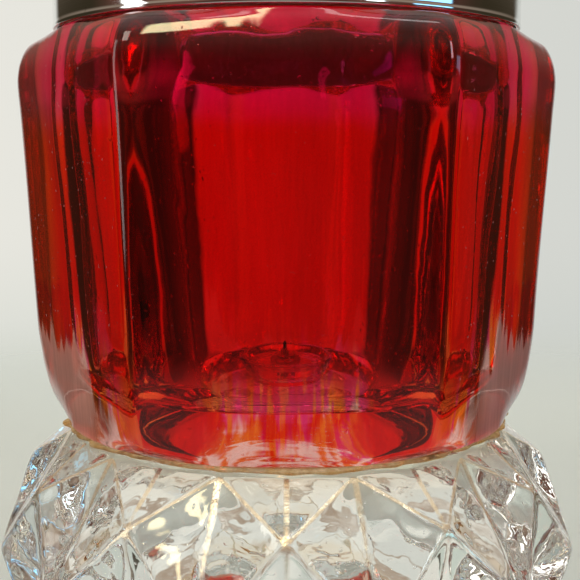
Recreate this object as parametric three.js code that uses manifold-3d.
// Free-standing sanctuary lamp: a six-sided ruby glass bowl bonded to a pressed clear glass foot,
// with a chrome neck collar, a hinged vented lid and a small oil light inside the bowl.
// Millimetres, +Z up. Origin: centre of the foot's resting plane, on the lamp's axis.
// The front of the lamp, with the lid's thumb tab, faces -Y; the lid hinge is at +Y.

import * as THREE from 'three';
import { mergeVertices } from 'three/addons/utils/BufferGeometryUtils.js';
import Module from 'manifold-3d';

const { degToRad, mapLinear } = THREE.MathUtils;
const wasm = await Module();
wasm.setup();

// ---------------------------------------------------------------- shared dimensions

const ROUND_SEGMENTS = 48; // bowl, collar and lid

const FOOT_TOP_Z = 43.1;
const BOWL_BASE_Z = 44.2;
const NECK_R = 37.8;
const NECK_BASE_Z = 110.5;

const COLLAR_R = 40.15;
const COLLAR_WALL = 0.8;
const COLLAR_INNER_R = COLLAR_R - COLLAR_WALL;
const COLLAR_TOP_Z = 125.0;
const LID_BASE_Z = COLLAR_TOP_Z + 0.2;

// lid hinge: its axis runs along X behind the collar
const HINGE_Y = 44.2;
const HINGE_Z = 126.2;
const HINGE_PIN_R = 0.8;
const HINGE_BORE_R = HINGE_PIN_R + 0.06;
const KNUCKLE_R = 1.7;
const HINGE_HALF_WIDTH = 8.0;
const CENTRE_KNUCKLE_WIDTH = 6.0;
const KNUCKLE_GAP = 0.3;

// heat shield and smoke canopy, carried on three posts
const POST_CIRCLE_R = 13.0;
const POST_ANGLES = [30, 150, 270]; // degrees from the front
const SHIELD_Z = 144.2;
const CANOPY_Z = 157.0;

// ---------------------------------------------------------------- materials

const FINISHES = {
  clearGlass: { color: 0xe9eee4, roughness: 0.04, metalness: 0, transparent: true, opacity: 0.4 },
  rubyGlass: { color: 0xa8000c, roughness: 0.05, metalness: 0, transparent: true, opacity: 0.8 },
  amber: { color: 0xc98a3c, roughness: 0.25, metalness: 0 },
  plaster: { color: 0x57352a, roughness: 0.9, metalness: 0 },
  chrome: { color: 0xc9ced0, roughness: 0.08, metalness: 1 },
  steel: { color: 0x9a9c9a, roughness: 0.35, metalness: 1 },
  brass: { color: 0xb58a3f, roughness: 0.3, metalness: 1 },
  oil: { color: 0xf2e6b0, roughness: 0.02, metalness: 0, transparent: true, opacity: 0.5 },
  cork: { color: 0xa9794a, roughness: 0.95, metalness: 0 },
  cotton: { color: 0xe6dfcc, roughness: 1, metalness: 0 },
};

// ---------------------------------------------------------------- helpers

function piece(name, geometry, finish, position = [0, 0, 0], rotation = [0, 0, 0]) {
  geometry.deleteAttribute('uv');
  geometry.deleteAttribute('normal');
  geometry.computeVertexNormals();
  const mesh = new THREE.Mesh(geometry, new THREE.MeshStandardMaterial(FINISHES[finish]));
  mesh.name = name;
  mesh.position.set(...position);
  mesh.rotation.set(...rotation);
  return mesh;
}

const toVectors = (points) => points.map(([x, y]) => new THREE.Vector2(x, y));

// All turned profiles are [radius, z] points.
const raised = (height, profile) => profile.map(([r, z]) => [r, height + z]);

// solid of revolution about Z; column 0 faces -Y
function turned(profile, segments) {
  return new THREE.LatheGeometry(toVectors(profile), segments).rotateX(Math.PI / 2);
}

// the same from an outline that closes on itself
const ring = (profile, segments) => turned([...profile, profile[0]], segments);

// lathe about Y whose radius varies round the axis: radiusAt(row, column, angle)
function shapedLathe(profile, columns, radiusAt) {
  const geometry = new THREE.LatheGeometry(toVectors(profile), columns);
  const position = geometry.attributes.position;
  for (let i = 0; i <= columns; i++) {
    const column = i % columns; // the last column closes exactly on the first
    const angle = (column / columns) * 2 * Math.PI;
    profile.forEach(([, height], row) => {
      const r = radiusAt(row, column, angle);
      position.setXYZ(i * profile.length + row, r * Math.sin(angle), height, r * Math.cos(angle));
    });
  }
  return geometry;
}

// cylinder along Z
function cylinder(radius, height, segments) {
  return new THREE.CylinderGeometry(radius, radius, height, segments).rotateX(Math.PI / 2);
}

// cylinder on the hinge axis
function hingeCylinder(radius, width, x = 0) {
  return new THREE.CylinderGeometry(radius, radius, width, 16)
    .rotateZ(Math.PI / 2)
    .translate(x, HINGE_Y, HINGE_Z);
}

// closed shape through straight-sided points
function polygon(points) {
  const shape = new THREE.Shape(toVectors(points));
  shape.closePath();
  return shape;
}

// shape drawn as [y, z], extruded along X to a width centred on centreX
function extrudeAlongX(shape, width, centreX = 0, curveSegments = 12) {
  const geometry = new THREE.ExtrudeGeometry(shape, {
    depth: width,
    bevelEnabled: false,
    curveSegments,
  });
  const alongX = new THREE.Matrix4().makeBasis(
    new THREE.Vector3(0, 1, 0),
    new THREE.Vector3(0, 0, 1),
    new THREE.Vector3(1, 0, 0),
  );
  return geometry.applyMatrix4(alongX).translate(centreX - width / 2, 0, 0);
}

function toSolid(geometry) {
  // without normals and UVs, vertices weld by position alone
  geometry.deleteAttribute('normal');
  geometry.deleteAttribute('uv');
  const welded = mergeVertices(geometry, 1e-4);
  const triangles = [];
  for (let i = 0; i < welded.index.count; i += 3) {
    const [a, b, c] = [0, 1, 2].map((corner) => welded.index.getX(i + corner));
    if (a !== b && b !== c && c !== a) triangles.push(a, b, c);
  }
  return new wasm.Manifold(new wasm.Mesh({
    numProp: 3,
    vertProperties: new Float32Array(welded.attributes.position.array),
    triVerts: new Uint32Array(triangles),
  }));
}

function toGeometry(solid) {
  const mesh = solid.getMesh();
  const geometry = new THREE.BufferGeometry();
  const positions = new Float32Array(mesh.vertProperties);
  geometry.setAttribute('position', new THREE.BufferAttribute(positions, 3));
  geometry.setIndex(new THREE.BufferAttribute(new Uint32Array(mesh.triVerts), 1));
  return geometry;
}

// the bodies joined, then the tools cut away
function carved(bodies, tools) {
  const joined = bodies.map(toSolid).reduce((solid, body) => solid.add(body));
  return toGeometry(tools.map(toSolid).reduce((solid, tool) => solid.subtract(tool), joined));
}

// point on a circle about the axis, in degrees from the front towards +X
function onCircle(radius, degrees, z) {
  const angle = degToRad(degrees);
  return [radius * Math.sin(angle), -radius * Math.cos(angle), z];
}

function postHoles(radius, height, z) {
  return POST_ANGLES.map((angle) => (
    cylinder(radius, height, 12).translate(...onCircle(POST_CIRCLE_R, angle, z))));
}

// ---------------------------------------------------------------- clear glass foot

const FOOT_COLUMNS = 24;
const FOOT_TOP_R = 38.8;
const FOOT_SHOULDER_Z = FOOT_TOP_Z - 0.6;
const FOOT_POINT_R = 47.2; // upper and lower points, at 0, 30, 60 ... degrees
const FOOT_UPPER_Z = 35.5;
const FOOT_LOWER_Z = 9.0;
const FOOT_GIRDLE_Z = 22.0; // widest row
const FOOT_TIP_R = 52.0; // its tips, at 15, 45, 75 ... degrees
const FOOT_VALLEY_R = 45.8; // its valleys, at 0, 30, 60 ... degrees
const FOOT_HOLLOW_H = 15.0; // hollow underside
// straight ridge from shoulder to widest tip, at the height of the upper points
const FOOT_RIDGE_R = mapLinear(
  FOOT_UPPER_Z, FOOT_SHOULDER_Z, FOOT_GIRDLE_Z, FOOT_TOP_R, FOOT_TIP_R);

// [z, radius of the even columns, radius of the odd columns], hollow to top
const FOOT_ROWS = [
  [FOOT_HOLLOW_H, 0, 0],
  [FOOT_HOLLOW_H - 0.8, 14, 14],
  [FOOT_HOLLOW_H - 5.4, 26, 26],
  [0, 34, 34],
  [0, 40, 40],
  [2.2, 41.5, 41.5],
  [FOOT_LOWER_Z, FOOT_POINT_R, FOOT_RIDGE_R],
  [FOOT_GIRDLE_Z, FOOT_VALLEY_R, FOOT_TIP_R],
  [FOOT_UPPER_Z, FOOT_POINT_R, FOOT_RIDGE_R],
  [FOOT_SHOULDER_Z, FOOT_TOP_R - 0.3, FOOT_TOP_R],
  [FOOT_TOP_Z, FOOT_TOP_R - 0.7, FOOT_TOP_R - 0.5],
  [FOOT_TOP_Z, 0, 0],
];
const FOOT_RIM_ROW = 5;
const FOOT_GIRDLE_ROW = 7;

// Twelve-fold diamond pattern: points and valleys on even columns, ridges and tips on odd ones.
function clearGlassFoot() {
  const profile = FOOT_ROWS.map(([z, evenR]) => [evenR, z]);
  const geometry = shapedLathe(profile, FOOT_COLUMNS, (row, column) => (
    FOOT_ROWS[row][1 + (column % 2)]));

  // facet diagonals run between the upper or lower points and the widest tips
  const triangles = [];
  const rowCount = FOOT_ROWS.length;
  for (let column = 0; column < FOOT_COLUMNS; column++) {
    for (let row = 0; row < rowCount - 1; row++) {
      // corners as seen from outside the foot's wall
      const lowLeft = column * rowCount + row;
      const lowRight = lowLeft + rowCount;
      const highRight = lowRight + 1;
      const highLeft = lowLeft + 1;
      const evenRises = row === FOOT_RIM_ROW || row === FOOT_GIRDLE_ROW;
      if ((column % 2 === 0) === evenRises) {
        triangles.push(lowLeft, lowRight, highLeft, highRight, highLeft, lowRight);
      } else {
        triangles.push(lowLeft, lowRight, highRight, lowLeft, highRight, highLeft);
      }
    }
  }
  geometry.setIndex(triangles);
  return piece('clear_glass_foot', geometry.rotateX(Math.PI / 2), 'clearGlass');
}

// bond between foot and bowl
function waistCementRing() {
  const outerR = 38.8;
  const innerR = 31.0;
  const bottomZ = FOOT_TOP_Z + 0.02;
  const topZ = BOWL_BASE_Z - 0.02;
  return piece('waist_cement_ring', ring([
    [innerR, bottomZ],
    [outerR - 0.7, bottomZ],
    [outerR, bottomZ + 0.3],
    [outerR, topZ - 0.3],
    [outerR - 0.7, topZ],
    [innerR, topZ],
  ], ROUND_SEGMENTS), 'amber');
}

// ---------------------------------------------------------------- ruby glass bowl

const BOWL_SIDES = 6;
const BOWL_EDGE_SHARPNESS = 47; // higher is a sharper edge between flats

// outside: [z, distance of the flats from the axis, roundness 0..1, round radius]
const BOWL_ROWS = [
  [BOWL_BASE_Z, 38.7, 1.0, 39.2],
  [44.8, 38.8, 0.74, 39.2],
  [45.8, 38.9, 0.48, 39.2],
  [47.4, 39.05, 0.31, 39.2],
  [50.0, 39.2, 0.18, 39.2],
  [54.0, 39.35, 0.07, 39.2],
  [60.0, 39.6, 0.0, 39.2],
  [75.0, 40.3, 0.0, 39.2],
  [97.0, 41.4, 0.0, 39.2],
  [102.6, 41.7, 0.0, 40.0],
  [104.6, 41.5, 0.0, 40.0],
  [106.6, 41.1, 0.02, 40.0],
  [108.6, 40.5, 0.1, 40.0],
  [109.7, 40.1, 0.36, 39.8],
  [110.3, 39.9, 0.72, 39.7],
  [NECK_BASE_Z, 39.7, 1.0, 39.6],
];

// round cavity, rim to floor: [radius, z]
const CAVITY = [
  [36.9, 122.6], [30.6, 122.6], [29.0, 121.8], [28.0, 118.0],
  [27.6, 112.0], [28.6, 104.0], [29.6, 98.0], [29.2, 92.0],
  [27.5, 76.0], [26.4, 60.0], [25.7, 55.0], [24.4, 51.8],
  [21.6, 49.9], [17.0, 49.1], [11.5, 48.7], [0, 48.2],
];

// hexagon with softened edges; one flat faces angle 0
function flatSidedRadius(angle, flatDistance) {
  let sum = 0;
  for (let side = 0; side < BOWL_SIDES; side++) {
    const cosine = Math.cos(angle - (side * 2 * Math.PI) / BOWL_SIDES);
    if (cosine > 0) sum += Math.pow(cosine, BOWL_EDGE_SHARPNESS);
  }
  return flatDistance / Math.pow(sum, 1 / BOWL_EDGE_SHARPNESS);
}

function rubyGlassBowl() {
  const profile = [
    [0, BOWL_BASE_Z],
    ...BOWL_ROWS.map(([z, , , roundR]) => [roundR, z]),
    [NECK_R, NECK_BASE_Z],
    [NECK_R, 122.0],
    ...CAVITY,
  ];
  const geometry = shapedLathe(profile, ROUND_SEGMENTS, (row, column, angle) => {
    const bowlRow = BOWL_ROWS[row - 1]; // the first profile point is on the axis
    if (!bowlRow) return profile[row][0];
    const [, flatDistance, roundness, roundR] = bowlRow;
    return (1 - roundness) * flatSidedRadius(angle, flatDistance) + roundness * roundR;
  });
  return piece('ruby_glass_bowl', geometry.rotateX(Math.PI / 2), 'rubyGlass');
}

// ---------------------------------------------------------------- neck collar and its hinge half

// plaster between the glass neck and the collar
function collarBeddingRing() {
  const innerR = NECK_R + 0.2;
  const outerR = COLLAR_INNER_R - 0.25;
  const bottomZ = 111.6;
  const topZ = 121.4;
  return piece('collar_bedding_ring', ring([
    [innerR, bottomZ],
    [outerR, bottomZ],
    [outerR, topZ],
    [innerR, topZ],
  ], ROUND_SEGMENTS), 'plaster');
}

// sleeve with a beaded lower edge and a lip turned in over the neck
function neckCollar() {
  const bottomZ = NECK_BASE_Z + 0.25;
  const lipR = 35.6;
  return piece('neck_collar', ring([
    [COLLAR_INNER_R, bottomZ + 1.0],
    [COLLAR_INNER_R + 0.1, bottomZ + 0.2],
    [COLLAR_R - 0.2, bottomZ],
    [COLLAR_R + 0.25, bottomZ + 0.35],
    [COLLAR_R + 0.3, bottomZ + 0.9],
    [COLLAR_R, bottomZ + 1.5],
    [COLLAR_R, COLLAR_TOP_Z],
    [lipR, COLLAR_TOP_Z],
    [lipR, COLLAR_TOP_Z - COLLAR_WALL],
    [COLLAR_INNER_R, COLLAR_TOP_Z - COLLAR_WALL],
  ], ROUND_SEGMENTS), 'chrome');
}

// curved plate on the back of the collar, with two arms and two knuckles
function collarHingeBracket() {
  const plateInnerR = COLLAR_R + 0.12;
  const plateOuterR = COLLAR_R + 1.1;
  const halfAngle = degToRad(11.6);
  const right = Math.PI / 2 - halfAngle;
  const left = Math.PI / 2 + halfAngle;
  const plateShape = new THREE.Shape();
  plateShape.absarc(0, 0, plateOuterR, right, left, false);
  plateShape.absarc(0, 0, plateInnerR, left, right, true);
  plateShape.closePath();
  const plate = new THREE.ExtrudeGeometry(plateShape, {
    depth: 9.0,
    bevelEnabled: false,
    curveSegments: 8,
  }).translate(0, 0, 114.6);

  const armShape = polygon([ // [y, z]
    [40.3, 115.5],
    [42.0, 115.5],
    [HINGE_Y + KNUCKLE_R - 0.3, HINGE_Z - 1.2],
    [HINGE_Y + 0.4, HINGE_Z - 0.2],
    [HINGE_Y - KNUCKLE_R + 0.4, HINGE_Z - 1.0],
    [41.0, 121.8],
    [40.3, 121.8],
  ]);
  const innerX = CENTRE_KNUCKLE_WIDTH / 2 + KNUCKLE_GAP;
  const width = HINGE_HALF_WIDTH - innerX;
  const centres = [-1, 1].map((side) => side * (innerX + width / 2));
  // keeps the arms off the round collar
  const clearance = cylinder(plateInnerR, 20, 96).translate(0, 0, 118);
  const geometry = carved([
    plate,
    ...centres.map((x) => extrudeAlongX(armShape, width, x)),
    ...centres.map((x) => hingeCylinder(KNUCKLE_R, width, x)),
  ], [
    clearance,
    ...centres.map((x) => hingeCylinder(HINGE_BORE_R, width + 2, x)),
  ]);
  return piece('collar_hinge_bracket', geometry, 'chrome');
}

// pin with a small head at each end
function hingePin() {
  const headR = 1.25;
  const end = raised(HINGE_HALF_WIDTH, [
    [HINGE_PIN_R, 0.2],
    [headR, 0.2],
    [headR, 0.6],
    [0.9, 0.9],
    [0, 0.9],
  ]);
  const otherEnd = end.map(([r, z]) => [r, -z]).reverse();
  const geometry = turned([...otherEnd, ...end], 16);
  return piece('hinge_pin', geometry, 'steel', [0, HINGE_Y, HINGE_Z], [0, Math.PI / 2, 0]);
}

// ---------------------------------------------------------------- lid

// domed shell: flange, pierced upright gallery, cornice and chimney opening
function lidShell() {
  const flangeR = 40.6;
  const galleryR = 36.4;
  const galleryInnerR = galleryR - 0.9;
  const chimneyR = 9.0;
  const outer = [
    [flangeR - 0.2, LID_BASE_Z],
    [flangeR, LID_BASE_Z + 0.4],
    [flangeR - 0.2, LID_BASE_Z + 0.9],
    [galleryR + 1.2, LID_BASE_Z + 1.3],
    [galleryR, LID_BASE_Z + 2.6],
    [galleryR, 135.0],
    [galleryR + 1.4, 136.2],
    [galleryR + 1.2, 137.4],
    [34.2, 139.2],
    [30.0, 142.6],
    [24.0, 145.6],
    [17.5, 147.6],
    [chimneyR + 1.2, 148.6],
    [chimneyR, 149.6],
  ];
  const inner = [
    [chimneyR - 0.8, 149.2],
    [chimneyR + 0.8, 147.8],
    [17.3, 146.7],
    [23.6, 144.7],
    [29.5, 141.7],
    [33.6, 138.4],
    [galleryInnerR, 136.2],
    [galleryInnerR, LID_BASE_Z + 2.2],
    [galleryR - 1.2, LID_BASE_Z],
  ];

  const ventCount = 12;
  const ventR = 2.2;
  const ventZ = 131.6;
  const vents = [];
  for (let k = 0; k < ventCount; k++) {
    vents.push(cylinder(ventR, 6, 12)
      .rotateX(Math.PI / 2)
      .translate(0, -galleryR, 0)
      .rotateZ(((k + 0.5) / ventCount) * 2 * Math.PI)
      .translate(0, 0, ventZ));
  }
  const shell = ring([...outer, ...inner], ROUND_SEGMENTS);
  return piece('lid_shell', carved([shell], [...vents, ...postHoles(1.3, 8, 148)]), 'chrome');
}

// leaf on the lid flange with the centre knuckle
function lidHingeLeaf() {
  const leafShape = polygon([ // [y, z]
    [38.4, LID_BASE_Z + 1.6],
    [38.4, LID_BASE_Z + 2.3],
    [HINGE_Y - 0.6, HINGE_Z + KNUCKLE_R - 0.12],
    [HINGE_Y - 1.0, HINGE_Z - 0.2],
    [HINGE_Y - 1.55, HINGE_Z + 0.1],
    [41.4, LID_BASE_Z + 1.35],
  ]);
  const geometry = carved([
    extrudeAlongX(leafShape, CENTRE_KNUCKLE_WIDTH),
    hingeCylinder(KNUCKLE_R, CENTRE_KNUCKLE_WIDTH),
  ], [
    hingeCylinder(HINGE_BORE_R, 2 * CENTRE_KNUCKLE_WIDTH),
  ]);
  return piece('lid_hinge_leaf', geometry, 'chrome');
}

// curled strip on the front of the flange
function lidThumbTab() {
  const width = 11;
  const tab = new THREE.Shape(); // [y, z]
  tab.moveTo(-38.2, LID_BASE_Z + 1.55);
  tab.lineTo(-38.2, LID_BASE_Z + 2.3);
  tab.lineTo(-42.6, LID_BASE_Z + 2.2);
  tab.quadraticCurveTo(-45.2, LID_BASE_Z + 2.6, -46.4, LID_BASE_Z + 5.2);
  tab.lineTo(-47.1, LID_BASE_Z + 4.9);
  tab.quadraticCurveTo(-46.0, LID_BASE_Z + 1.7, -42.8, LID_BASE_Z + 1.3);
  tab.lineTo(-41.2, LID_BASE_Z + 1.25);
  tab.closePath();
  return piece('lid_thumb_tab', extrudeAlongX(tab, width, 0, 5), 'chrome');
}

// disc hung under the chimney opening
function heatShield() {
  const shieldR = 16.5;
  const disc = turned(raised(SHIELD_Z, [
    [0, 0],
    [shieldR - 0.6, -0.5],
    [shieldR, -0.2],
    [shieldR - 0.4, 0.3],
    [0, 0.8],
  ]), 32);
  return piece('heat_shield', carved([disc], postHoles(1.3, 4, SHIELD_Z)), 'steel');
}

// shallow cone with a thickened rim and a screw hole at its peak
function smokeCanopy() {
  const canopyR = 20.0;
  const screwHoleR = 1.65;
  const cone = ring(raised(CANOPY_Z, [
    [canopyR - 0.3, -0.4],
    [canopyR + 0.4, 0],
    [canopyR, 0.6],
    [15.0, 2.2],
    [11.0, 2.6],
    [6.0, 6.2],
    [3.2, 6.8],
    [screwHoleR, 6.8],
    [screwHoleR, 6.0],
    [2.9, 6.0],
    [5.6, 5.4],
    [10.8, 1.8],
    [15.0, 1.4],
    [canopyR - 0.5, 0.1],
  ]), 36);
  return piece('smoke_canopy', carved([cone], postHoles(1.0, 8, CANOPY_Z + 2)), 'chrome');
}

// The post stands on the lid on its wide foot; its thin ends pass the shield and the canopy.
function canopyPost(number, position) {
  return piece(`canopy_post_${number}`, turned([
    ...raised(SHIELD_Z, [[0, -1.5], [1.5, -1.3], [1.9, -0.75], [1.15, -0.7]]),
    [1.15, 148.75],
    [2.0, 148.95],
    [2.0, 149.6],
    [1.4, 150.3],
    ...raised(CANOPY_Z, [[1.4, 0.6], [1.7, 1.2], [0.85, 1.25], [0.85, 4.2], [0, 4.2]]),
  ], 12), 'chrome', position);
}

// domed cap nut over the post's upper end
function canopyNut(number, position) {
  return piece(`canopy_nut_${number}`, ring(raised(CANOPY_Z, [
    [0.95, 2.75],
    [2.1, 2.75],
    [2.1, 3.7],
    [1.7, 4.7],
    [0.9, 5.3],
    [0, 5.4],
    [0, 4.5],
    [0.95, 4.4],
  ]), 12), 'chrome', position);
}

// turned knob with a blind hole for its screw
function finialKnob() {
  return piece('finial_knob', turned(raised(CANOPY_Z, [
    [0, 13.2], [1.3, 13.2], [1.3, 6.95], // blind hole
    [3.6, 6.95], [4.2, 7.6], [3.6, 8.4], // base
    [2.3, 9.2], [2.1, 10.2], // neck
    [4.0, 11.4], [5.2, 13.4], [5.4, 15.2], [4.7, 17.2], [3.0, 18.8], // bulb
    [1.6, 19.5], [1.1, 20.4], [0, 21.0], // tip
  ]), 24), 'chrome');
}

// screw from under the canopy into the knob
function finialScrew() {
  return piece('finial_screw', turned(raised(CANOPY_Z, [
    [0, 4.4],
    [2.2, 4.4],
    [2.6, 4.9],
    [2.6, 5.7],
    [1.2, 5.9],
    [1.2, 12.6],
    [0, 12.9],
  ]), 16), 'steel');
}

// ---------------------------------------------------------------- oil light

// The light's group stands at OIL_GLASS_Z; heights in this section are above that.
const OIL_GLASS_Z = 48.6;
const OIL_SURFACE = 4.3;

function oilGlass() {
  const rimR = 12.4;
  const rimZ = 6.2;
  return piece('oil_glass', turned([
    [0, 0.5],
    [7.4, 0.5],
    [7.8, 0],
    [8.8, 0],
    [9.4, 0.5],
    [rimR - 0.2, rimZ - 0.5],
    [rimR - 0.7, rimZ],
    [rimR - 1.2, rimZ - 0.5],
    [9.0, 2.1],
    [8.0, 1.6],
    [0, 1.5],
  ], 36), 'clearGlass');
}

// oil with a well left round the wick tube
function lampOil() {
  const wellR = 1.9;
  return piece('lamp_oil', turned([
    [0, 1.6],
    [7.9, 1.7],
    [8.8, 2.3],
    [10.1, OIL_SURFACE],
    [wellR, OIL_SURFACE],
    [wellR, 2.0],
    [0, 2.0],
  ], 36), 'oil');
}

function wickFloat() {
  return piece('wick_float', ring(raised(OIL_SURFACE, [
    [1.45, 0.05],
    [4.3, 0.05],
    [4.6, 0.4],
    [4.3, 0.95],
    [1.45, 0.95],
  ]), 28), 'cork');
}

// tube with a flange just above the float
function wickTube() {
  const boreR = 0.85;
  const tubeR = 1.25;
  const flangeR = 2.6;
  return piece('wick_tube', ring(raised(OIL_SURFACE, [
    [boreR, -1.6],
    [tubeR, -1.6],
    [tubeR, 1.05],
    [flangeR, 1.05],
    [flangeR, 1.4],
    [tubeR, 1.4],
    [1.15, 2.6],
    [boreR, 2.6],
  ]), 16), 'brass');
}

function wick() {
  return piece('wick', turned(raised(OIL_SURFACE, [
    [0, -2.0],
    [0.6, -1.85],
    [0.65, 3.1],
    [0.45, 4.0],
    [0, 4.4],
  ]), 10), 'cotton');
}

// ---------------------------------------------------------------- assembly

const base = new THREE.Group();
base.add(
  clearGlassFoot(),
  waistCementRing(),
  rubyGlassBowl(),
  collarBeddingRing(),
  neckCollar(),
  collarHingeBracket(),
  hingePin(),
);

const lid = new THREE.Group();
lid.add(lidShell(), lidHingeLeaf(), lidThumbTab(), heatShield(), smokeCanopy());
POST_ANGLES.forEach((angle, k) => {
  const position = onCircle(POST_CIRCLE_R, angle, 0);
  lid.add(canopyPost(k + 1, position), canopyNut(k + 1, position));
});
lid.add(finialKnob(), finialScrew());

const light = new THREE.Group();
light.position.set(0, 0, OIL_GLASS_Z);
light.add(oilGlass(), lampOil(), wickFloat(), wickTube(), wick());

const lamp = new THREE.Group();
lamp.name = 'sanctuary_lamp';
lamp.add(base, lid, light);

export default lamp;
